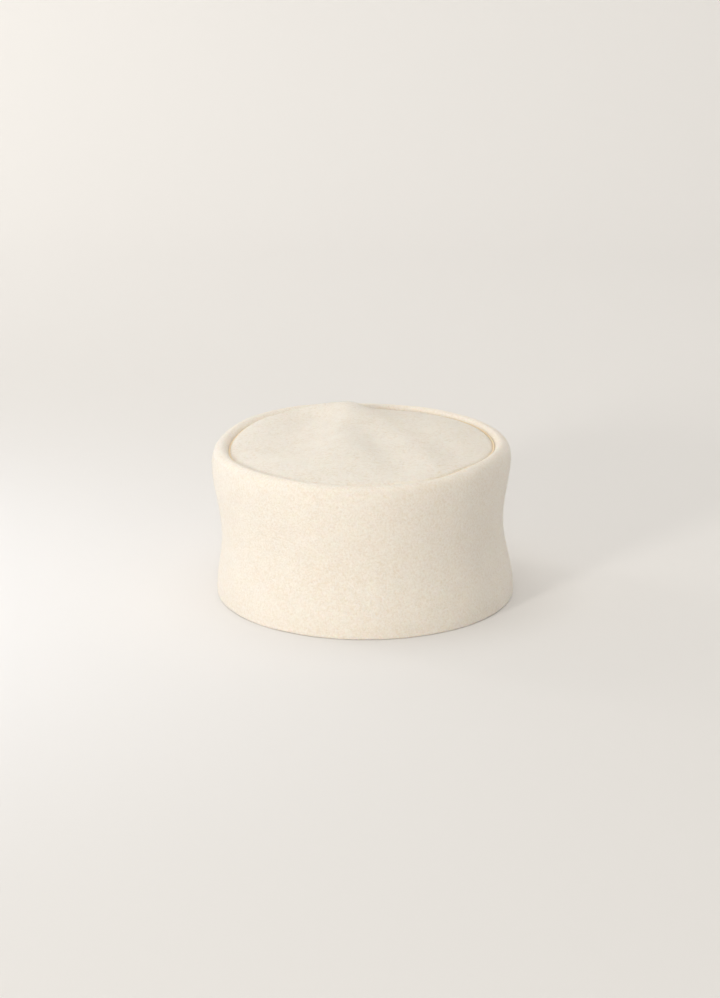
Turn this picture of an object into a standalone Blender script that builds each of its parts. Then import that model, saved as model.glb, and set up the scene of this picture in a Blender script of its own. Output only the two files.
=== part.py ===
"""Wool felt pillbox hat: a waisted side band rolled over at the rim, and a dented crown tip set into it.

Metres, +Z up. The hat stands on its hem at z = 0, with its front towards -Y and the long axis of the head
along Y. The origin lies under the middle of the hat.
"""

import math
from typing import NamedTuple

import bmesh
import bpy

# Head oval at the hem, measured over the felt
HEM_WIDTH = 0.174
HEM_LENGTH = 0.203

# Side band, its height measured at the front, and how much its rim rises elsewhere
CROWN_HEIGHT = 0.0877
RIM_RISE = 0.0040
FELT = 0.0026
WAIST_DRAW = 0.0065

# Rolled rim: the hollow that the felt is folded round, then the turned-down allowance inside
RIM_DROP = 0.0095
ROLL_OUTER = 0.0026
ROLL_INNER = 0.0020
ROLL_LIP = 0.0020
RIM_ALLOWANCE = 0.0075

# Crown tip: its seam into the rim, its turned-down edge and its soft mound
SEAM_GAP = 0.0003
TIP_BEND = 0.0005
TIP_ALLOWANCE = 0.0070
TIP_SET = 0.0026
TIP_MOUND = 0.0030
FOLD_RISE = 0.0070
EDGE_HOLD = 12
SEAT_REACH = 3

# Mesh density
QUARTER_STEPS = 22
WALL_STEPS = 10
ROLL_STEPS = 4
BEND_STEPS = 3


class WallSection(NamedTuple):
    """One height of the wall, a share of CROWN_HEIGHT, and how far it stands out there past the hem.

    The four outward distances are shares of WAIST_DRAW.
    """

    height: float
    left: float
    right: float
    front: float
    back: float


WALL_SECTIONS = (
    WallSection(height=0.00, left=0.00, right=0.00, front=0.00, back=0.00),
    WallSection(height=0.12, left=-0.07, right=-0.08, front=-0.07, back=-0.08),
    WallSection(height=0.24, left=-0.34, right=-0.45, front=-0.38, back=-0.42),
    WallSection(height=0.34, left=-0.52, right=-0.78, front=-0.62, back=-0.70),
    WallSection(height=0.46, left=-0.47, right=-1.00, front=-0.72, back=-0.80),
    WallSection(height=0.58, left=-0.27, right=-0.95, front=-0.55, back=-0.62),
    WallSection(height=0.69, left=0.00, right=-0.73, front=-0.25, back=-0.30),
    WallSection(height=0.80, left=0.28, right=-0.48, front=0.04, back=0.00),
    WallSection(height=0.90, left=0.31, right=-0.32, front=0.12, back=0.12),
)


class RimSection(NamedTuple):
    """Rim and tip edge in one direction, in degrees from the right, turning to the back.

    The rise of the rim is a share of RIM_RISE. The drop of the tip's edge below the rim is a share of
    TIP_SET, and where it is negative the edge stands up out of the seam.
    """

    direction: float
    rise: float
    drop: float


RIM_SECTIONS = (
    RimSection(direction=0.0, rise=0.45, drop=0.6),
    RimSection(direction=30.0, rise=0.35, drop=0.5),
    RimSection(direction=62.0, rise=0.30, drop=0.6),
    RimSection(direction=88.0, rise=0.30, drop=0.5),
    RimSection(direction=97.0, rise=0.34, drop=-0.9),
    RimSection(direction=110.0, rise=0.55, drop=-0.8),
    RimSection(direction=124.0, rise=0.68, drop=0.1),
    RimSection(direction=145.0, rise=0.60, drop=0.2),
    RimSection(direction=170.0, rise=0.05, drop=0.4),
    RimSection(direction=197.0, rise=-0.15, drop=0.7),
    RimSection(direction=228.0, rise=0.00, drop=0.6),
    RimSection(direction=262.0, rise=0.00, drop=0.3),
    RimSection(direction=290.0, rise=0.08, drop=0.1),
    RimSection(direction=305.0, rise=0.30, drop=0.1),
    RimSection(direction=320.0, rise=0.75, drop=0.5),
    RimSection(direction=337.0, rise=0.75, drop=0.8),
)


class TipFold(NamedTuple):
    """One ridge or hollow of the tip, running from a start to an end.

    Places are shares of the way from the middle of the tip to its edge, across to the right and along to
    the back. Rises are shares of FOLD_RISE, below zero in a hollow. The widths of the two flanks, seen from
    the start, are in the same shares as the places.
    """

    start_across: float
    start_along: float
    end_across: float
    end_along: float
    start_rise: float
    end_rise: float
    left_width: float
    right_width: float


TIP_FOLDS = (
    TipFold(-0.14, 0.96, -0.20, -0.30, 0.66, 0.46, 0.13, 0.34),
    TipFold(-0.46, 0.72, -0.64, -0.06, -0.46, -0.34, 0.20, 0.22),
    TipFold(0.02, 0.16, 0.27, -0.72, -0.34, -0.26, 0.16, 0.18),
    TipFold(0.12, 0.36, 0.50, -0.62, 0.26, 0.26, 0.38, 0.15),
    TipFold(0.04, 0.95, 0.14, 0.72, -0.24, -0.06, 0.14, 0.10),
    TipFold(0.46, 0.50, 0.70, 0.10, 0.10, 0.14, 0.26, 0.30),
)


class ProfilePoint(NamedTuple):
    """A point of a felt profile on its hollow side, with the direction that the thickness is laid in.

    Distances run outwards from the hem's oval and upwards from the hem.
    """

    out: float
    up: float
    lay_out: float
    lay_up: float


def table_value(rows, key, column, at):
    """Value of a table's column at a place between its rows, curving smoothly from row to row."""
    last = len(rows) - 1
    index = max(i for i in range(last) if i == 0 or getattr(rows[i], key) <= at)

    def slope(middle):
        before = rows[max(middle - 1, 0)]
        after = rows[min(middle + 1, last)]
        rise = getattr(after, column) - getattr(before, column)
        return rise / (getattr(after, key) - getattr(before, key))

    low, high = rows[index], rows[index + 1]
    span = getattr(high, key) - getattr(low, key)
    rise = getattr(high, column) - getattr(low, column)
    share = (at - getattr(low, key)) / span
    bend = (slope(index) * span - rise) * (1.0 - share) + (rise - slope(index + 1) * span) * share
    return getattr(low, column) + share * rise + share * (1.0 - share) * bend


def rim_value(angle, column):
    """Value of the rim table in any direction, the same after a whole turn."""
    before = RIM_SECTIONS[-1]._replace(direction=RIM_SECTIONS[-1].direction - 360.0)
    after = tuple(row._replace(direction=row.direction + 360.0) for row in RIM_SECTIONS[:2])
    rows = (before,) + RIM_SECTIONS + after
    return table_value(rows, "direction", column, math.degrees(angle) % 360.0)


def rim_height(angle):
    """Height of the rim in one direction."""
    return CROWN_HEIGHT + RIM_RISE * rim_value(angle, "rise")


def seat_height(angle):
    """Height of the tip's top face where it starts to bend down at its edge."""
    return rim_height(angle) - TIP_SET * rim_value(angle, "drop")


def shoulder_height(angle):
    """Height at which the wall begins to roll over into the rim."""
    return rim_height(angle) - RIM_DROP


def wall_out(height, angle):
    """Outward offset of the wall's outer face from the hem's oval at a height and a direction."""
    share = height / rim_height(angle)
    side = "right" if math.cos(angle) >= 0.0 else "left"
    end = "back" if math.sin(angle) >= 0.0 else "front"
    return WAIST_DRAW * (math.cos(angle) ** 2 * table_value(WALL_SECTIONS, "height", side, share)
                         + math.sin(angle) ** 2 * table_value(WALL_SECTIONS, "height", end, share))


def groove_out(angle):
    """Outward offset of the rim's inner face, which the tip is set against."""
    rim_width = 2.0 * FELT + ROLL_OUTER + ROLL_INNER
    return wall_out(shoulder_height(angle), angle) - rim_width


def oval_point(angle, out, up):
    """Point at an outward offset from the hem's oval, and a height."""
    half_width = HEM_WIDTH / 2.0
    half_length = HEM_LENGTH / 2.0
    across = math.cos(angle) / half_width
    along = math.sin(angle) / half_length
    size = math.hypot(across, along)
    return (half_width * math.cos(angle) + out * across / size,
            half_length * math.sin(angle) + out * along / size,
            up)


def quarter_roll(reach, rise, steps, turned):
    """Quarter of an ellipse from the outside to the top; turned, it runs from the top to the inside."""
    first = 0.5 * math.pi if turned else 0.0
    points = []
    for step in range(1, steps + 1):
        angle = first + 0.5 * math.pi * step / steps
        lay_out = math.cos(angle) / reach
        lay_up = math.sin(angle) / rise
        size = math.hypot(lay_out, lay_up)
        out = reach * math.cos(angle)
        up = rise * math.sin(angle)
        points.append(ProfilePoint(out, up, lay_out / size, lay_up / size))
    return points


def band_profile(angle):
    """Profile of the side band in one direction: up the wall, over the rim and down inside the seam."""
    shoulder = shoulder_height(angle)
    points = []
    for step in range(WALL_STEPS + 1):
        height = shoulder * step / WALL_STEPS
        points.append(ProfilePoint(wall_out(height, angle) - FELT, height, 1.0, 0.0))
    centre = points[-1].out - ROLL_OUTER
    top = rim_height(angle) - FELT
    for roll in quarter_roll(ROLL_OUTER, top - shoulder, ROLL_STEPS, turned=False):
        points.append(ProfilePoint(centre + roll.out, shoulder + roll.up, roll.lay_out, roll.lay_up))
    for roll in quarter_roll(ROLL_INNER, ROLL_LIP, ROLL_STEPS, turned=True):
        points.append(ProfilePoint(centre + roll.out, top - ROLL_LIP + roll.up, roll.lay_out, roll.lay_up))
    points.append(ProfilePoint(centre - ROLL_INNER, top - ROLL_LIP - RIM_ALLOWANCE, -1.0, 0.0))
    return points


def edge_profile(angle):
    """Profile of the tip's edge in one direction: round the bend and down beside the rim's inner face."""
    seat = seat_height(angle)
    centre = groove_out(angle) - SEAM_GAP - FELT - TIP_BEND
    under = seat - FELT - TIP_BEND
    points = []
    for step in range(1, BEND_STEPS + 1):
        turn = 0.5 * math.pi * (1.0 - step / BEND_STEPS)
        lay_out = math.cos(turn)
        lay_up = math.sin(turn)
        points.append(ProfilePoint(centre + TIP_BEND * lay_out, under + TIP_BEND * lay_up, lay_out, lay_up))
    hem = rim_height(angle) - TIP_SET - FELT - TIP_BEND - TIP_ALLOWANCE
    points.append(ProfilePoint(centre + TIP_BEND, hem, 1.0, 0.0))
    return points


def fold_rise(fold, across, along):
    """Rise of one fold at a place on the tip."""
    run_across = fold.end_across - fold.start_across
    run_along = fold.end_along - fold.start_along
    run = math.hypot(run_across, run_along)
    away_across = across - fold.start_across
    away_along = along - fold.start_along
    share = (away_across * run_across + away_along * run_along) / run ** 2
    aside = (away_across * run_along - away_along * run_across) / run
    width = fold.right_width if aside < 0.0 else fold.left_width
    held = min(max(share, 0.0), 1.0)
    beyond = (share - held) * run
    distance = (aside / width) ** 2 + (beyond / max(fold.left_width, fold.right_width)) ** 2
    return FOLD_RISE * (fold.start_rise + held * (fold.end_rise - fold.start_rise)) * math.exp(-distance)


def tip_point(across, along):
    """Point of the tip's top face at shares of the way to its edge, across and along."""
    angle = math.atan2(along, across)
    reach = math.hypot(across, along)
    edge = oval_point(angle, groove_out(angle) - SEAM_GAP - FELT - TIP_BEND, 0.0)
    folds = sum(fold_rise(fold, across, along) for fold in TIP_FOLDS)
    loose = 1.0 - reach ** EDGE_HOLD
    middle = CROWN_HEIGHT + TIP_MOUND
    base = middle + (seat_height(angle) - middle) * reach ** SEAT_REACH
    return edge[0] * reach, edge[1] * reach, base + folds * loose


def ring_angles():
    """Directions of the mesh's rings, from the right front corner round by the back."""
    count = 4 * QUARTER_STEPS
    return [2.0 * math.pi * step / count - 0.25 * math.pi for step in range(count)]


def add_ring(mesh, points):
    """Add a closed ring of vertices."""
    return [mesh.verts.new(point) for point in points]


def join_rings(mesh, ring, next_ring):
    """Close the strip between two rings with quads."""
    count = len(ring)
    for i in range(count):
        after = (i + 1) % count
        mesh.faces.new((ring[i], ring[after], next_ring[after], next_ring[i]))


def sheet_rings(mesh, profiles, angles):
    """Add the felt's two faces as rings down the profiles: the hollow side first, then the outer side."""
    hollow, outer = [], []
    for row in range(len(profiles[0])):
        spots = [profile[row] for profile in profiles]
        hollow.append(add_ring(mesh, [oval_point(a, s.out, s.up) for a, s in zip(angles, spots)]))
        outer.append(add_ring(mesh, [
            oval_point(a, s.out + FELT * s.lay_out, s.up + FELT * s.lay_up) for a, s in zip(angles, spots)]))
    return hollow, outer


def add_tip_grid(mesh, drop):
    """Add a net of quads over the tip, lowered by a drop, and give back its edge as a ring."""
    steps = QUARTER_STEPS
    places = [math.sqrt(2.0) * math.sin(math.pi * (i / (2.0 * steps) - 0.25)) for i in range(steps + 1)]
    grid = []
    for a in places:
        column = []
        for b in places:
            x, y, z = tip_point(a * math.sqrt(1.0 - b * b / 2.0), b * math.sqrt(1.0 - a * a / 2.0))
            column.append(mesh.verts.new((x, y, z - drop)))
        grid.append(column)
    for i in range(steps):
        for j in range(steps):
            mesh.faces.new((grid[i][j], grid[i + 1][j], grid[i + 1][j + 1], grid[i][j + 1]))
    right = [grid[steps][j] for j in range(steps)]
    back = [grid[steps - i][steps] for i in range(steps)]
    left = [grid[0][steps - j] for j in range(steps)]
    front = [grid[i][0] for i in range(steps)]
    return right + back + left + front


def finish_object(name, mesh, felt, parent):
    """Turn a bmesh into a named felt object."""
    bmesh.ops.recalc_face_normals(mesh, faces=mesh.faces[:])
    data = bpy.data.meshes.new(name)
    mesh.to_mesh(data)
    mesh.free()
    data.materials.append(felt)
    data.shade_smooth()
    data.set_sharp_from_angle(angle=math.radians(50.0))
    piece = bpy.data.objects.new(name, data)
    piece.parent = parent
    bpy.context.scene.collection.objects.link(piece)
    return piece


def make_felt(name):
    """Ivory wool felt, matt and soft."""
    felt = bpy.data.materials.new(name)
    felt.use_nodes = True
    shader = felt.node_tree.nodes["Principled BSDF"]
    shader.inputs["Base Color"].default_value = (0.86, 0.80, 0.69, 1.0)
    shader.inputs["Roughness"].default_value = 0.95
    shader.inputs["Metallic"].default_value = 0.0
    shader.inputs["Sheen Weight"].default_value = 0.3
    return felt


def build_side_band(parent):
    """Side band: waisted wall, rolled rim and the allowance turned down inside the seam."""
    mesh = bmesh.new()
    angles = ring_angles()
    hollow, outer = sheet_rings(mesh, [band_profile(angle) for angle in angles], angles)
    for side in (hollow, outer):
        for ring, next_ring in zip(side, side[1:]):
            join_rings(mesh, ring, next_ring)
    join_rings(mesh, hollow[0], outer[0])
    join_rings(mesh, hollow[-1], outer[-1])
    return finish_object("side_band", mesh, make_felt("side_band_felt"), parent)


def build_crown_tip(parent):
    """Crown tip: the dented top, bent down at its edge and set inside the rim."""
    mesh = bmesh.new()
    angles = ring_angles()
    top_edge = add_tip_grid(mesh, 0.0)
    under_edge = add_tip_grid(mesh, FELT)
    hollow, outer = sheet_rings(mesh, [edge_profile(angle) for angle in angles], angles)
    for edge, side in ((under_edge, hollow), (top_edge, outer)):
        join_rings(mesh, edge, side[0])
        for ring, next_ring in zip(side, side[1:]):
            join_rings(mesh, ring, next_ring)
    join_rings(mesh, hollow[-1], outer[-1])
    return finish_object("crown_tip", mesh, make_felt("crown_tip_felt"), parent)


def middle_shift():
    """Shift that brings the middle of the hat over the origin, as its left and right shoulders differ."""
    def reach(angle):
        heights = [shoulder_height(angle) * step / WALL_STEPS for step in range(WALL_STEPS + 1)]
        return max(wall_out(height, angle) for height in heights)

    across = (reach(math.pi) - reach(0.0)) / 2.0
    along = (reach(-0.5 * math.pi) - reach(0.5 * math.pi)) / 2.0
    return across, along, 0.0


def main():
    """Clear the scene and build the hat."""
    for old in list(bpy.data.objects):
        bpy.data.objects.remove(old, do_unlink=True)
    hat = bpy.data.objects.new("hat", None)
    hat.location = middle_shift()
    bpy.context.scene.collection.objects.link(hat)
    build_side_band(hat)
    build_crown_tip(hat)
    bpy.context.view_layer.update()


main()
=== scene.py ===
"""Looks of a wool felt pillbox hat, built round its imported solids.

The hat has two felt shells, the side band and the crown tip, which are remade here as fine soft meshes, sewn
together inside by a row of stitches and covered by a short nap of wool fibres. Lengths are metres unless a
name ends in _mm; the front of the hat is towards -Y.
"""

import logging
import math
from dataclasses import dataclass
from enum import Enum

import bmesh
import bpy
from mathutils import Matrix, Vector, noise
from mathutils.bvhtree import BVHTree

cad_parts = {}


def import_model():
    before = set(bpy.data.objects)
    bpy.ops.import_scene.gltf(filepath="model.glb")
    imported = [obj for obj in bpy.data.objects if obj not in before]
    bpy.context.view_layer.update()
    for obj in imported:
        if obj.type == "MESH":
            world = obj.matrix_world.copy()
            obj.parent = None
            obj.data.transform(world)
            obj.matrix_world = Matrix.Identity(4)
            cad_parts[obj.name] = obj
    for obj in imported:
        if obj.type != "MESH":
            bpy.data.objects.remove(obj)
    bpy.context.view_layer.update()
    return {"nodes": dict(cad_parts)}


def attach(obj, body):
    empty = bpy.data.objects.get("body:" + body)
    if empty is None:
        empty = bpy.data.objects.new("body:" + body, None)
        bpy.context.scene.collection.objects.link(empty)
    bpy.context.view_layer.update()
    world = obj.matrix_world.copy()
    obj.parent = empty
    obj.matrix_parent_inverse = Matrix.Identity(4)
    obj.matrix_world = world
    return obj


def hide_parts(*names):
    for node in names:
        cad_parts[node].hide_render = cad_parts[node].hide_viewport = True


LOG = logging.getLogger("wool_hat")
BODY = "root"
MM = 0.001
# How far red, green and blue light goes into wool, as shares of its glow depth
WOOL_GLOW_RADII = (1.0, 0.65, 0.4)
# Points of a spindle's end that lie this close, as a share of its length, are merged into one
SPINDLE_JOIN = 0.0001


def linear(code: str) -> tuple[float, float, float, float]:
    """Turn an sRGB hex colour into a linear colour.

    Args:
        code: The colour as six hex digits, such as "f3e9d8".

    Returns:
        Red, green, blue and an alpha of 1.
    """
    parts = [int(code[i:i + 2], 16) / 255.0 for i in (0, 2, 4)]
    red, green, blue = (p / 12.92 if p <= 0.04045 else ((p + 0.055) / 1.055) ** 2.4 for p in parts)
    return red, green, blue, 1.0


def add_node(tree: bpy.types.NodeTree, kind: str, settings: dict | None = None,
             inputs: dict | None = None) -> bpy.types.Node:
    """Add one node with its settings, values and links.

    Args:
        tree: The node tree to add to.
        kind: The node's type name.
        settings: Attributes to set on the node.
        inputs: Input names or numbers, each with a value or with an output socket to link from.

    Returns:
        The new node.
    """
    node = tree.nodes.new(kind)
    for name, value in (settings or {}).items():
        setattr(node, name, value)
    for name, value in (inputs or {}).items():
        if isinstance(value, bpy.types.NodeSocket):
            tree.links.new(value, node.inputs[name])
        else:
            node.inputs[name].default_value = value
    return node


def solids_tree(nodes: dict[str, bpy.types.Object]) -> BVHTree:
    """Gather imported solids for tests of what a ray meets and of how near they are.

    Args:
        nodes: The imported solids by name.

    Returns:
        All their triangles in one tree.
    """
    places, faces = [], []
    for node in nodes.values():
        start = len(places)
        places.extend(vertex.co for vertex in node.data.vertices)
        faces.extend(tuple(start + i for i in polygon.vertices) for polygon in node.data.polygons)
    return BVHTree.FromPolygons(places, faces)


def plain_mesh(piece: bpy.types.Object) -> bpy.types.Object:
    """Turn a piece with modifiers into an object with a plain mesh.

    Args:
        piece: The object whose evaluated mesh is kept; it is removed.

    Returns:
        A new object of the same name, with no modifier.
    """
    name = piece.name
    graph = bpy.context.evaluated_depsgraph_get()
    mesh = bpy.data.meshes.new_from_object(piece.evaluated_get(graph), depsgraph=graph)
    bpy.data.objects.remove(piece, do_unlink=True)
    result = bpy.data.objects.new(name, mesh)
    mesh.name = name
    bpy.context.scene.collection.objects.link(result)
    return result


class FeltFace(Enum):
    """How a face of the felt was finished."""

    BRUSHED = "brushed"
    PLAIN = "plain"


@dataclass(frozen=True)
class MilledWool:
    """Milled wool felt: short crimped fibres matted in every direction, with a soft pale bloom at its edges.

    The fibres are 0.02 mm thick, far under a pixel, so the grain is drawn as the 1 to 2 mm clumps they form,
    with painted shade where their relief sinks.
    """

    name: str
    light: str = "f9f3e9"
    mean: str = "f4ece1"
    dark: str = "ede2d2"
    light_from: float = 0.68
    mean_at: float = 0.56
    dark_to: float = 0.44
    roughness: float = 0.95
    specular: float = 0.25
    sheen: float = 0.35
    sheen_roughness: float = 0.5
    clump_mm: float = 1.3
    clump_share: float = 0.6
    clump_depth_mm: float = 0.42
    fibre_mm: float = 0.5
    fibre_share: float = 0.4
    fibre_depth_mm: float = 0.24
    blotch_mm: float = 16.0
    blotch_share: float = 0.12
    glow: float = 0.25
    glow_mm: float = 1.2

    def clumping(self, tree: bpy.types.NodeTree, size_mm: float, detail: float, roughness: float,
                 distortion: float) -> bpy.types.NodeSocket:
        """Add one scale of unevenness, fixed to the object.

        Args:
            tree: The material's node tree.
            size_mm: Size of the unevenness.
            detail: How many finer scales it holds.
            roughness: How strong the finer scales are.
            distortion: How far they are twisted.

        Returns:
            Its strength, from 0 to 1.
        """
        place = add_node(tree, "ShaderNodeTexCoord").outputs["Object"]
        return add_node(tree, "ShaderNodeTexNoise", {"noise_dimensions": "3D"}, {
            "Vector": place, "Scale": 1.0 / (size_mm * MM), "Detail": detail, "Roughness": roughness,
            "Distortion": distortion}).outputs["Fac"]

    def tone(self, tree: bpy.types.NodeTree, clumps: bpy.types.NodeSocket,
             fibres: bpy.types.NodeSocket) -> bpy.types.NodeSocket:
        """Mix the felt's colour from its clumps, its fibres and broad pale blotches: random grain, and
        painted shade in the hollows of the relief.

        Args:
            tree: The material's node tree.
            clumps: Strength of the clumps.
            fibres: Strength of the fibres.

        Returns:
            The colour.
        """
        blotches = self.clumping(tree, self.blotch_mm, detail=2.0, roughness=0.5, distortion=0.0)
        coarse = add_node(tree, "ShaderNodeMath", {"operation": "MULTIPLY"}, {0: clumps, 1: self.clump_share})
        grain = add_node(tree, "ShaderNodeMath", {"operation": "MULTIPLY_ADD"}, {
            0: fibres, 1: self.fibre_share, 2: coarse.outputs["Value"]})
        whole = add_node(tree, "ShaderNodeMath", {"operation": "MULTIPLY_ADD"}, {
            0: blotches, 1: self.blotch_share, 2: grain.outputs["Value"]})
        # Painted shade: the low end of the mix, where the clumps and fibres sink in the relief, takes the
        # dark colour; the rest is the felt's own random grain
        mix = add_node(tree, "ShaderNodeValToRGB", {}, {"Fac": whole.outputs["Value"]})
        stops = mix.color_ramp.elements
        stops[0].position = self.dark_to
        stops[0].color = linear(self.dark)
        stops[1].position = self.light_from
        stops[1].color = linear(self.light)
        stops.new(self.mean_at).color = linear(self.mean)
        return mix.outputs["Color"]

    def material(self) -> bpy.types.Material:
        """Build the felt's material.

        Returns:
            The material, its colour and its relief both drawn from the same clumps and fibres, so the colour
            holds painted shade in the relief's hollows.
        """
        material = bpy.data.materials.new(self.name)
        material.use_nodes = True
        tree = material.node_tree
        shader = tree.nodes["Principled BSDF"]
        shader.inputs["Roughness"].default_value = self.roughness
        shader.inputs["Specular IOR Level"].default_value = self.specular
        shader.inputs["Sheen Weight"].default_value = self.sheen
        shader.inputs["Sheen Roughness"].default_value = self.sheen_roughness
        shader.inputs["Subsurface Weight"].default_value = self.glow
        shader.inputs["Subsurface Radius"].default_value = WOOL_GLOW_RADII
        shader.inputs["Subsurface Scale"].default_value = self.glow_mm * MM
        clumps = self.clumping(tree, self.clump_mm, detail=3.0, roughness=0.6, distortion=0.6)
        fibres = self.clumping(tree, self.fibre_mm, detail=2.0, roughness=0.7, distortion=1.2)
        tree.links.new(self.tone(tree, clumps, fibres), shader.inputs["Base Color"])
        deep = add_node(tree, "ShaderNodeBump", {}, {
            "Height": clumps, "Distance": self.clump_depth_mm * MM, "Strength": 1.0})
        fine = add_node(tree, "ShaderNodeBump", {}, {
            "Height": fibres, "Distance": self.fibre_depth_mm * MM, "Strength": 1.0,
            "Normal": deep.outputs["Normal"]})
        tree.links.new(fine.outputs["Normal"], shader.inputs["Normal"])
        return material


@dataclass(frozen=True)
class SpunWool:
    """Loose or spun wool: a plain dry fibre with a soft sheen."""

    name: str
    colour: str
    roughness: float = 0.9
    specular: float = 0.2
    sheen: float = 0.3
    glow: float = 0.3
    glow_mm: float = 0.8

    def material(self) -> bpy.types.Material:
        """Build the wool's material.

        Returns:
            The material, in one even colour.
        """
        material = bpy.data.materials.new(self.name)
        material.use_nodes = True
        shader = material.node_tree.nodes["Principled BSDF"]
        shader.inputs["Base Color"].default_value = linear(self.colour)
        shader.inputs["Roughness"].default_value = self.roughness
        shader.inputs["Specular IOR Level"].default_value = self.specular
        shader.inputs["Sheen Weight"].default_value = self.sheen
        shader.inputs["Subsurface Weight"].default_value = self.glow
        shader.inputs["Subsurface Radius"].default_value = WOOL_GLOW_RADII
        shader.inputs["Subsurface Scale"].default_value = self.glow_mm * MM
        return material


@dataclass
class FeltShell:
    """One felt shell of the hat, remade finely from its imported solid."""

    node: str
    felt: MilledWool
    levels: int = 2
    join_mm: float = 0.01
    flat_deg: float = 60.0
    square_deg: float = 80.0
    cut_edge_mm: float = 1.2
    cut_edge_parts: int = 3
    wave_mm: float = 32.0
    wave_height_mm: float = 0.30
    lump_mm: float = 9.0
    lump_height_mm: float = 0.12
    lump_start: tuple[float, float, float] = (7.0, 3.0, 5.0)
    seam_hold_mm: float = 4.0

    def quads(self, solid: bpy.types.Object) -> bpy.types.Mesh:
        """Copy a solid's triangles as a mesh of quads with softened cut edges.

        Args:
            solid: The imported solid's object.

        Returns:
            The new mesh.
        """
        mesh = bmesh.new()
        mesh.from_mesh(solid.data)
        flat = math.radians(self.flat_deg)
        bmesh.ops.remove_doubles(mesh, verts=mesh.verts[:], dist=self.join_mm * MM)
        bmesh.ops.join_triangles(
            mesh, faces=mesh.faces[:], angle_face_threshold=flat,
            angle_shape_threshold=math.radians(self.square_deg), topology_influence=1.0)
        cut = [edge for edge in mesh.edges if edge.is_manifold and edge.calc_face_angle() > flat]
        bmesh.ops.bevel(
            mesh, geom=cut, offset=self.cut_edge_mm * MM, offset_type="OFFSET",
            segments=self.cut_edge_parts, profile=0.5, affect="EDGES", clamp_overlap=True)
        data = bpy.data.meshes.new(self.node + "_felt")
        mesh.to_mesh(data)
        mesh.free()
        return data

    def uneven(self, mesh: bpy.types.Mesh, neighbour: BVHTree) -> None:
        """Give a shell the slight waves and lumps of hand-blocked felt, less near the seam.

        Args:
            mesh: The fine mesh to change.
            neighbour: The other shell, which this one stays clear of.
        """
        normals = [Vector(normal.vector) for normal in mesh.vertex_normals]
        start = Vector(self.lump_start)
        moved = []
        for vertex, normal in zip(mesh.vertices, normals):
            place = vertex.co.copy()
            reach = neighbour.find_nearest(place)[3] / (self.seam_hold_mm * MM)
            free = min(reach, 1.0) ** 2
            wave = noise.noise(place / (self.wave_mm * MM)) * self.wave_height_mm
            lump = noise.noise(place / (self.lump_mm * MM) + start) * self.lump_height_mm
            place += normal * ((wave + lump) * free * MM)
            moved.extend((place.x, place.y, max(place.z, 0.0)))
        mesh.vertices.foreach_set("co", moved)
        mesh.update()

    def build(self, nodes: dict[str, bpy.types.Object], neighbour: str) -> bpy.types.Object:
        """Build the fine shell.

        Args:
            nodes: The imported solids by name.
            neighbour: Name of the other shell's solid.

        Returns:
            The finished shell.
        """
        shell = bpy.data.objects.new(self.node + "_felt", self.quads(nodes[self.node]))
        bpy.context.scene.collection.objects.link(shell)
        smooth = shell.modifiers.new("smooth", "SUBSURF")
        smooth.levels = self.levels
        smooth.render_levels = self.levels
        shell = plain_mesh(shell)
        self.uneven(shell.data, solids_tree({neighbour: nodes[neighbour]}))
        shell.data.materials.clear()
        shell.data.materials.append(self.felt.material())
        shell.data.shade_smooth()
        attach(shell, BODY)
        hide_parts(self.node)
        return shell


def add_socket(tree: bpy.types.NodeTree, name: str, kind: str) -> str:
    """Add a named input to a node group.

    Args:
        tree: The node group.
        name: The input's name.
        kind: The socket's type name.

    Returns:
        The socket's identifier.
    """
    return tree.interface.new_socket(name=name, in_out="INPUT", socket_type=kind).identifier


def spindle(tree: bpy.types.NodeTree, sides: int, parts: int, curl: float) -> bpy.types.NodeSocket:
    """Add nodes for a closed spindle, pointed at both ends, one unit long and one unit thick.

    Args:
        tree: The node group.
        sides: Its number of sides.
        parts: Its number of parts from end to end.
        curl: How far its middle stands aside, in units of its thickness.

    Returns:
        The spindle's geometry.
    """
    tube = add_node(tree, "GeometryNodeMeshCone", {"fill_type": "NONE"}, {
        "Vertices": sides, "Side Segments": parts, "Radius Top": 0.5, "Radius Bottom": 0.5, "Depth": 1.0})
    place = add_node(tree, "GeometryNodeInputPosition").outputs["Position"]
    axes = add_node(tree, "ShaderNodeSeparateXYZ", {}, {"Vector": place})
    along = add_node(tree, "ShaderNodeMath", {"operation": "MULTIPLY"}, {0: axes.outputs["Z"], 1: math.pi})
    swell = add_node(tree, "ShaderNodeMath", {"operation": "SINE"}, {0: along.outputs["Value"]})
    wide = add_node(tree, "ShaderNodeMath", {"operation": "MULTIPLY"},
                    {0: axes.outputs["X"], 1: swell.outputs["Value"]})
    bend = add_node(tree, "ShaderNodeMath", {"operation": "ADD"}, {0: axes.outputs["Y"], 1: curl})
    deep = add_node(tree, "ShaderNodeMath", {"operation": "MULTIPLY"},
                    {0: bend.outputs["Value"], 1: swell.outputs["Value"]})
    shape = add_node(tree, "ShaderNodeCombineXYZ", {}, {
        "X": wide.outputs["Value"], "Y": deep.outputs["Value"], "Z": axes.outputs["Z"]})
    drawn = add_node(tree, "GeometryNodeSetPosition", {}, {
        "Geometry": tube.outputs["Mesh"], "Position": shape.outputs["Vector"]})
    return add_node(tree, "GeometryNodeMergeByDistance", {}, {
        "Geometry": drawn.outputs["Geometry"], "Distance": SPINDLE_JOIN}).outputs["Geometry"]


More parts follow.
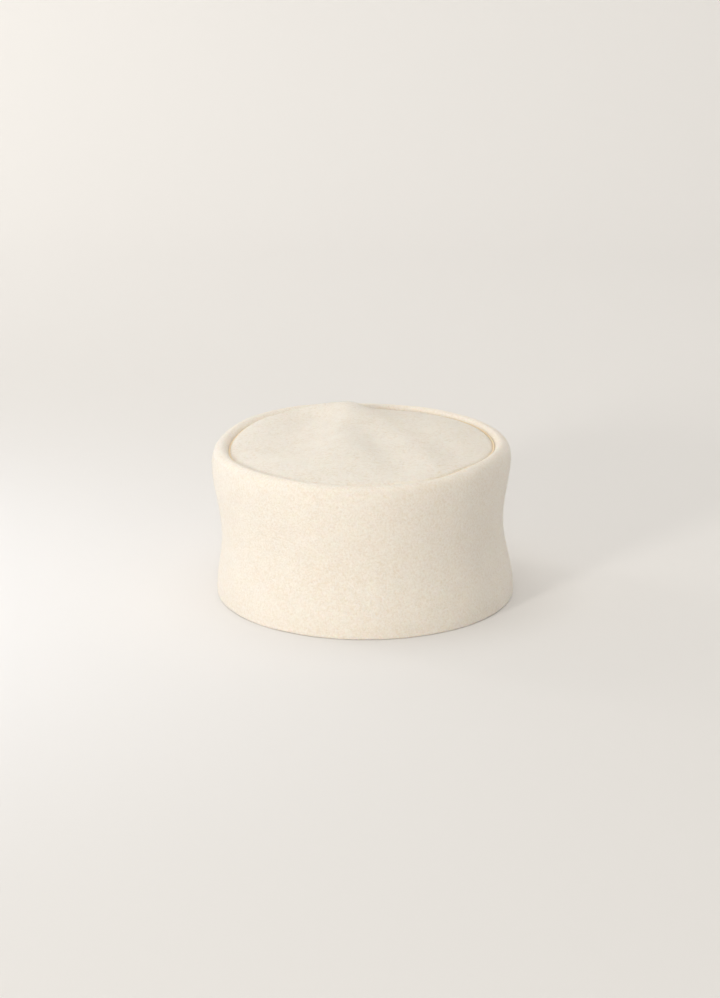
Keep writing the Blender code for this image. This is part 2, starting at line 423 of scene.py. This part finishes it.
def finish_tree(tree: bpy.types.NodeTree, shape: bpy.types.NodeSocket,
                material: bpy.types.NodeSocket) -> None:
    """End a node group: real geometry, shaded smooth, with its material.

    Args:
        tree: The node group.
        shape: The geometry to give out.
        material: The material's socket.
    """
    real = add_node(tree, "GeometryNodeRealizeInstances", {}, {"Geometry": shape})
    smooth = add_node(tree, "GeometryNodeSetShadeSmooth", {}, {"Geometry": real.outputs["Geometry"]})
    dyed = add_node(tree, "GeometryNodeSetMaterial", {}, {
        "Geometry": smooth.outputs["Geometry"], "Material": material})
    tree.interface.new_socket(name="Geometry", in_out="OUTPUT", socket_type="NodeSocketGeometry")
    add_node(tree, "NodeGroupOutput", {}, {"Geometry": dyed.outputs["Geometry"]})


def grow(name: str, base: bpy.types.Mesh, tree: bpy.types.NodeTree, values: dict) -> bpy.types.Object:
    """Run a node group on a base mesh and keep what it makes as a plain mesh.

    Args:
        name: The new object's name.
        base: The mesh that the group works on.
        tree: The node group.
        values: Input identifiers, each with its value.

    Returns:
        The new object.
    """
    piece = bpy.data.objects.new(name, base)
    run = piece.modifiers.new("nodes", "NODES")
    run.node_group = tree
    for socket, value in values.items():
        run[socket] = value
    bpy.context.scene.collection.objects.link(piece)
    piece = plain_mesh(piece)
    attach(piece, BODY)
    return piece


@dataclass
class WoolNap:
    """Short nap on the brushed faces of the felt: single fibres that lie almost flat in every direction.

    A face counts as brushed by the way it points, as shares of one: how far inward or downward it may face.
    """

    wool: SpunWool
    length_mm: float = 1.5
    shortest: float = 0.6
    longest: float = 1.4
    thick_mm: float = 0.06
    sides: int = 3
    parts: int = 3
    curl: float = 3.0
    flattest_deg: float = 88.0
    steepest_deg: float = 62.0
    hem_mm: float = 2.0
    inward: float = 0.3
    upward: float = 0.5
    downward: float = 0.4
    lift_mm: float = 0.4
    view_mm: float = 10.0
    seed: int = 11

    def face(self, place: Vector, normal: Vector, open_air: BVHTree) -> FeltFace:
        """Tell how the felt is finished at a place: brushed where it faces the open air, above the hem.

        Args:
            place: The place on the shell.
            normal: The shell's direction there.
            open_air: Both solids, which hide what lies inside the seam.

        Returns:
            The finish of the face.
        """
        outward = Vector((place.x, place.y, 0.0)).normalized().dot(normal)
        start = place + normal * (self.lift_mm * MM)
        inner = outward < -self.inward and normal.z < self.upward
        under = normal.z < -self.downward or place.z < self.hem_mm * MM
        hidden = open_air.ray_cast(start, normal, self.view_mm * MM)[0] is not None
        if inner or under or hidden:
            return FeltFace.PLAIN
        return FeltFace.BRUSHED

    def brushed(self, shell: bpy.types.Object, open_air: BVHTree) -> bpy.types.Mesh:
        """Copy the brushed faces of a shell.

        Args:
            shell: The felt shell.
            open_air: Both solids.

        Returns:
            The brushed faces alone.
        """
        mesh = bmesh.new()
        mesh.from_mesh(shell.data)
        plain = [face for face in mesh.faces
                 if self.face(face.calc_center_median(), face.normal, open_air) is FeltFace.PLAIN]
        bmesh.ops.delete(mesh, geom=plain, context="FACES")
        data = bpy.data.meshes.new("brushed")
        mesh.to_mesh(data)
        mesh.free()
        return data

    def tree(self) -> tuple[bpy.types.NodeTree, dict[str, str]]:
        """Build the node group that scatters the fibres.

        Returns:
            The group, and the identifiers of its inputs by name.
        """
        tree = bpy.data.node_groups.new("wool_nap", "GeometryNodeTree")
        kinds = {"Geometry": "NodeSocketGeometry", "Density": "NodeSocketFloat", "Length": "NodeSocketFloat",
                 "Thickness": "NodeSocketFloat", "Steepest": "NodeSocketFloat", "Flattest": "NodeSocketFloat",
                 "Seed": "NodeSocketInt", "Wool": "NodeSocketMaterial"}
        names = {name: add_socket(tree, name, kind) for name, kind in kinds.items()}
        given = add_node(tree, "NodeGroupInput").outputs
        points = add_node(tree, "GeometryNodeDistributePointsOnFaces", {"distribute_method": "RANDOM"}, {
            "Mesh": given["Geometry"], "Density": given["Density"], "Seed": given["Seed"]})
        low = add_node(tree, "ShaderNodeCombineXYZ", {}, {"X": given["Steepest"], "Z": 0.0})
        high = add_node(tree, "ShaderNodeCombineXYZ", {}, {"X": given["Flattest"], "Z": 2.0 * math.pi})
        lean = add_node(tree, "FunctionNodeRandomValue", {"data_type": "FLOAT_VECTOR"}, {
            0: low.outputs["Vector"], 1: high.outputs["Vector"], "Seed": given["Seed"]})
        turn = add_node(tree, "FunctionNodeRotateRotation", {"rotation_space": "LOCAL"}, {
            "Rotation": points.outputs["Rotation"], "Rotate By": lean.outputs[0]})
        share = add_node(tree, "FunctionNodeRandomValue", {"data_type": "FLOAT"}, {
            2: self.shortest, 3: self.longest, "Seed": given["Seed"]})
        length = add_node(tree, "ShaderNodeMath", {"operation": "MULTIPLY"}, {
            0: share.outputs[1], 1: given["Length"]})
        size = add_node(tree, "ShaderNodeCombineXYZ", {}, {
            "X": given["Thickness"], "Y": given["Thickness"], "Z": length.outputs["Value"]})
        fibres = add_node(tree, "GeometryNodeInstanceOnPoints", {}, {
            "Points": points.outputs["Points"], "Instance": spindle(tree, self.sides, self.parts, self.curl),
            "Rotation": turn.outputs["Rotation"], "Scale": size.outputs["Vector"]})
        finish_tree(tree, fibres.outputs["Instances"], given["Wool"])
        return tree, names

    def build(self, shells: list[tuple[bpy.types.Object, int]], open_air: BVHTree) -> list[bpy.types.Object]:
        """Raise the nap on the shells.

        Args:
            shells: The felt shells, each with its number of fibres.
            open_air: Both solids.

        Returns:
            The nap of each shell.
        """
        tree, names = self.tree()
        wool = self.wool.material()
        naps = []
        for shell, count in shells:
            base = self.brushed(shell, open_air)
            area = sum(polygon.area for polygon in base.polygons)
            naps.append(grow(shell.name.replace("_felt", "_nap"), base, tree, {
                names["Density"]: count / area, names["Length"]: self.length_mm * MM,
                names["Thickness"]: self.thick_mm * MM, names["Steepest"]: math.radians(self.steepest_deg),
                names["Flattest"]: math.radians(self.flattest_deg), names["Seed"]: self.seed,
                names["Wool"]: wool}))
        return naps


@dataclass
class SeamStitches:
    """Row of slanted wool stitches, down in the groove, that holds the tip's edge against the rim."""

    thread: SpunWool
    pitch_mm: float = 1.9
    length_mm: float = 4.6
    thick_mm: float = 1.5
    sides: int = 6
    parts: int = 6
    slant_deg: float = 12.0
    lift_mm: float = -0.15
    aside_mm: float = -0.05
    slice_mm: float = 5.0
    edge_mm: float = 0.8
    rim_mm: float = 8.0
    sunk_mm: float = 2.6
    directions: int = 180
    ease: int = 2

    def path(self, nodes: dict[str, bpy.types.Object]) -> bpy.types.Mesh:
        """Trace the groove as a closed line of edges, at the tip's edge but never near the top of the rim.

        Args:
            nodes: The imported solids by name.

        Returns:
            A mesh of edges alone.
        """
        tip = [vertex.co for vertex in nodes["crown_tip"].data.vertices]
        band = [vertex.co for vertex in nodes["side_band"].data.vertices]
        wide = self.slice_mm * MM
        spots = []
        for step in range(self.directions):
            turn = 2.0 * math.pi * step / self.directions
            way = Vector((math.cos(turn), math.sin(turn), 0.0))
            side = Vector((-way.y, way.x, 0.0))
            near = [spot for spot in tip if abs(spot.dot(side)) < wide and spot.dot(way) > 0.0]
            reach = max(spot.dot(way) for spot in near)
            edge = max(spot.z for spot in near if spot.dot(way) > reach - self.edge_mm * MM)
            rim = max(spot.z for spot in band if abs(spot.dot(side)) < wide
                      and 0.0 < spot.dot(way) - reach < self.rim_mm * MM)
            place = way * (reach + self.aside_mm * MM)
            place.z = min(edge, rim - self.sunk_mm * MM) + self.lift_mm * MM
            spots.append(place)
        count = len(spots)
        steps = range(-self.ease, self.ease + 1)
        ring = [sum((spots[(i + j) % count] for j in steps), Vector()) / len(steps) for i in range(count)]
        mesh = bpy.data.meshes.new("seam_line")
        mesh.from_pydata(ring, [(i, (i + 1) % count) for i in range(count)], [])
        return mesh

    def tree(self) -> tuple[bpy.types.NodeTree, dict[str, str]]:
        """Build the node group that lays the stitches along the line.

        Returns:
            The group, and the identifiers of its inputs by name.
        """
        tree = bpy.data.node_groups.new("seam_stitches", "GeometryNodeTree")
        kinds = {"Geometry": "NodeSocketGeometry", "Pitch": "NodeSocketFloat", "Length": "NodeSocketFloat",
                 "Thickness": "NodeSocketFloat", "Slant": "NodeSocketFloat", "Thread": "NodeSocketMaterial"}
        names = {name: add_socket(tree, name, kind) for name, kind in kinds.items()}
        given = add_node(tree, "NodeGroupInput").outputs
        line = add_node(tree, "GeometryNodeMeshToCurve", {}, {"Mesh": given["Geometry"]})
        points = add_node(tree, "GeometryNodeCurveToPoints", {"mode": "LENGTH"}, {
            "Curve": line.outputs["Curve"], "Length": given["Pitch"]})
        aim = add_node(tree, "FunctionNodeAlignRotationToVector", {"axis": "Z"}, {
            "Vector": points.outputs["Tangent"]})
        slant = add_node(tree, "ShaderNodeCombineXYZ", {}, {"X": given["Slant"]})
        turn = add_node(tree, "FunctionNodeRotateRotation", {"rotation_space": "LOCAL"}, {
            "Rotation": aim.outputs["Rotation"], "Rotate By": slant.outputs["Vector"]})
        size = add_node(tree, "ShaderNodeCombineXYZ", {}, {
            "X": given["Thickness"], "Y": given["Thickness"], "Z": given["Length"]})
        stitches = add_node(tree, "GeometryNodeInstanceOnPoints", {}, {
            "Points": points.outputs["Points"], "Instance": spindle(tree, self.sides, self.parts, 0.0),
            "Rotation": turn.outputs["Rotation"], "Scale": size.outputs["Vector"]})
        finish_tree(tree, stitches.outputs["Instances"], given["Thread"])
        return tree, names

    def build(self, nodes: dict[str, bpy.types.Object]) -> bpy.types.Object:
        """Sew the seam.

        Args:
            nodes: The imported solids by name.

        Returns:
            The row of stitches.
        """
        tree, names = self.tree()
        return grow("seam_stitches", self.path(nodes), tree, {
            names["Pitch"]: self.pitch_mm * MM, names["Length"]: self.length_mm * MM,
            names["Thickness"]: self.thick_mm * MM, names["Slant"]: math.radians(self.slant_deg),
            names["Thread"]: self.thread.material()})


@dataclass(frozen=True)
class SoftLight:
    """One square soft light."""

    name: str
    place: tuple[float, float, float]
    aim: tuple[float, float, float]
    size: float
    watts: float
    spread_deg: float = 180.0
    colour: str = "fffaf2"

    def build(self) -> None:
        """Hang the light."""
        light = bpy.data.lights.new(self.name, "AREA")
        light.shape = "SQUARE"
        light.size = self.size
        light.energy = self.watts
        light.spread = math.radians(self.spread_deg)
        light.color = linear(self.colour)[:3]
        lamp = bpy.data.objects.new(self.name, light)
        lamp.location = self.place
        way = Vector(self.aim) - Vector(self.place)
        lamp.rotation_euler = way.to_track_quat("-Z", "Y").to_euler()
        bpy.context.scene.collection.objects.link(lamp)


SOFT_LIGHTS = (
    SoftLight("window", (-1.13, -1.68, 0.51), (0.0, 0.0, 0.04), 0.30, 15.8),
    SoftLight("side_panel", (-1.5, 1.0, 0.9), (-0.6, 1.7, 0.6), 0.8, 8.0),
    SoftLight("floor_panel", (-0.50, -0.05, 0.90), (-0.46, -0.05, 0.0), 0.4, 0.44, 60.0, "eef4ff"),
    SoftLight("right_fill", (0.90, 0.25, 0.45), (0.12, 0.0, 0.03), 0.5, 0.03, 50.0),
    SoftLight("ceiling", (0.0, 0.2, 2.2), (0.0, 0.2, 0.0), 2.0, 12.0),
)


@dataclass
class Studio:
    """Pale seamless paper, a low window light from the front left, softer lights, and the camera."""

    paper: str = "eae9e9"
    paper_roughness: float = 0.9
    paper_specular: float = 0.1
    paper_half_width: float = 4.0
    paper_front: float = -3.0
    bend_start: float = 1.1
    bend_radius: float = 0.6
    bend_steps: int = 24
    paper_top: float = 3.0
    lens_mm: float = 105.0
    camera_place: tuple[float, float, float] = (-0.00198, -1.64287, 0.49606)
    camera_tilt_deg: float = 15.057
    clip_start: float = 0.05
    clip_end: float = 50.0
    soft_lights: tuple[SoftLight, ...] = SOFT_LIGHTS
    room_colour: str = "fffcf5"
    room_strength: float = 0.60

    def sweep(self) -> None:
        """Build the paper: flat under the hat, then bent up into a background."""
        profile = [(self.paper_front, 0.0), (self.bend_start, 0.0)]
        for step in range(1, self.bend_steps + 1):
            turn = 0.5 * math.pi * step / self.bend_steps
            profile.append((self.bend_start + self.bend_radius * math.sin(turn),
                            self.bend_radius * (1.0 - math.cos(turn))))
        profile.append((self.bend_start + self.bend_radius, self.paper_top))
        mesh = bmesh.new()
        left = [mesh.verts.new((-self.paper_half_width, y, z)) for y, z in profile]
        right = [mesh.verts.new((self.paper_half_width, y, z)) for y, z in profile]
        for near in range(len(profile) - 1):
            mesh.faces.new((left[near], right[near], right[near + 1], left[near + 1]))
        data = bpy.data.meshes.new("paper_sweep")
        mesh.to_mesh(data)
        mesh.free()
        data.shade_smooth()
        # Uncoated paper scatters the light evenly, so it shows no highlight
        paper = bpy.data.materials.new("matt_paper")
        paper.use_nodes = True
        shader = paper.node_tree.nodes["Principled BSDF"]
        shader.inputs["Base Color"].default_value = linear(self.paper)
        shader.inputs["Roughness"].default_value = self.paper_roughness
        shader.inputs["Specular IOR Level"].default_value = self.paper_specular
        data.materials.append(paper)
        sweep = bpy.data.objects.new("paper_sweep", data)
        bpy.context.scene.collection.objects.link(sweep)

    def lights(self) -> None:
        """Add the soft lights and the even light of the room."""
        for light in self.soft_lights:
            light.build()
        world = bpy.data.worlds.new("room")
        world.use_nodes = True
        room = world.node_tree.nodes["Background"]
        room.inputs["Color"].default_value = linear(self.room_colour)
        room.inputs["Strength"].default_value = self.room_strength
        bpy.context.scene.world = world

    def camera(self) -> None:
        """Place the camera at the viewing angle of the photograph."""
        lens = bpy.data.cameras.new("camera")
        lens.lens = self.lens_mm
        lens.clip_start = self.clip_start
        lens.clip_end = self.clip_end
        camera = bpy.data.objects.new("camera", lens)
        camera.location = self.camera_place
        camera.rotation_euler = (math.radians(90.0 - self.camera_tilt_deg), 0.0, 0.0)
        bpy.context.scene.collection.objects.link(camera)
        bpy.context.scene.camera = camera

    def build(self) -> None:
        """Build the whole studio."""
        self.sweep()
        self.lights()
        self.camera()
        bpy.context.scene.view_settings.view_transform = "Standard"


# The band's felt is milled hard and looks nearly even, with a fine dry grain
BAND_FELT = MilledWool("milled_wool_felt")
# The tip's felt is milled less: its clumps are wider and deeper, and look fleecy, with painted shade a little
# darker between them
TIP_FELT = MilledWool("fleecy_wool_felt", dark="e9ddca", clump_mm=1.9, fibre_mm=0.8, blotch_share=0.20,
                      clump_depth_mm=0.80, fibre_depth_mm=0.36)
# The sewing wool is a little warmer than the felt, so the seam shows as a thin tan line
SEWING_WOOL = SpunWool("sewing_wool", "f1d9b6")
# The loose fibres have nearly the felt's own colour and soften its outline
NAP_WOOL = SpunWool("nap_wool", "f6efe2")
BAND_FIBRES = 15000
TIP_FIBRES = 12000


def main() -> None:
    """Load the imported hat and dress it."""
    logging.basicConfig(level=logging.INFO, format="%(name)s: %(message)s")
    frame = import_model()
    band = FeltShell("side_band", BAND_FELT).build(frame["nodes"], "crown_tip")
    LOG.info("side band felt: %d faces", len(band.data.polygons))
    tip = FeltShell("crown_tip", TIP_FELT).build(frame["nodes"], "side_band")
    LOG.info("crown tip felt: %d faces", len(tip.data.polygons))
    stitches = SeamStitches(SEWING_WOOL).build(frame["nodes"])
    LOG.info("seam stitches: %d faces", len(stitches.data.polygons))
    open_air = solids_tree(frame["nodes"])
    for nap in WoolNap(NAP_WOOL).build([(band, BAND_FIBRES), (tip, TIP_FIBRES)], open_air):
        LOG.info("%s: %d faces", nap.name, len(nap.data.polygons))
    Studio().build()


if __name__ == "__main__":
    main()
